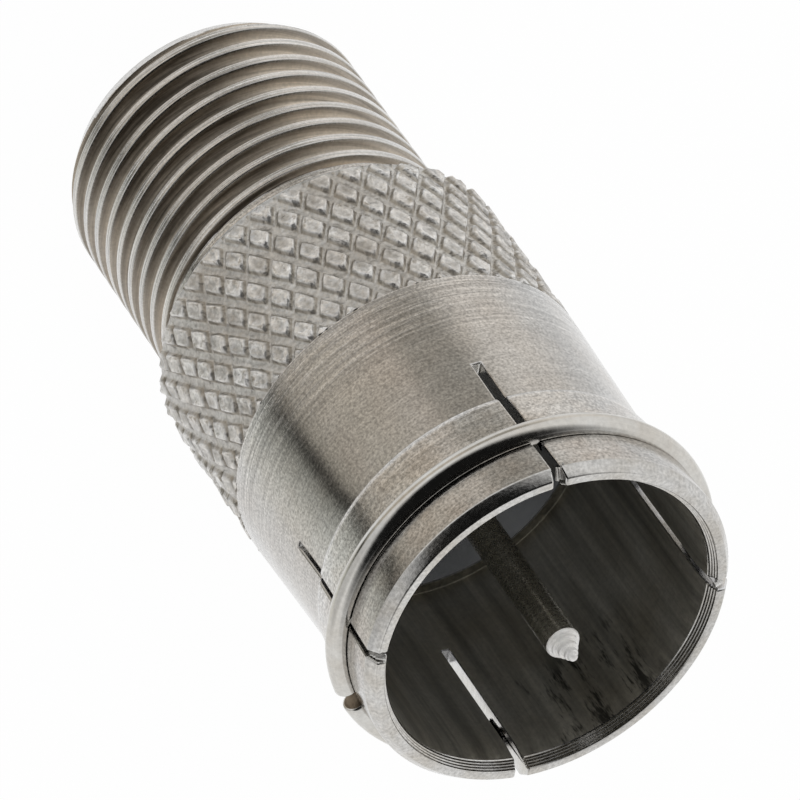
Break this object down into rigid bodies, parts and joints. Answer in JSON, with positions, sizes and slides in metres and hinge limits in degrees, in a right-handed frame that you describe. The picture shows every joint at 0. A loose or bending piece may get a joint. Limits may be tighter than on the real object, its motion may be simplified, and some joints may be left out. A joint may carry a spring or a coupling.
{
  "type": "f type adapter",
  "caption": "Turned metal F adapter: slotted push-on plug mouth with centre pin and spring ring, knurled grip, and threaded jack end.",
  "frame": {"origin": "on the axis, in the plane of the jack's end face, on which the adapter stands", "axes": "+Z along the axis from the threaded jack end to the plug mouth; the saw slots lie along X and Y"},
  "size_m": [0.0118, 0.0118, 0.0246],
  "materials": {
    "nickel_plate": "nickel plated, turned, a little worn",
    "spring_wire": "drawn wire, nickel plated",
    "contact_metal": "nickel plated, turned",
    "insulator": "moulded, smooth"
  },
  "bodies": {
    "root": {"body": "nickel_plate", "spring_ring": "spring_wire", "centre_contact": "contact_metal", "front_insulator": "insulator", "rear_insulator": "insulator"}
  },
  "joints": []
}
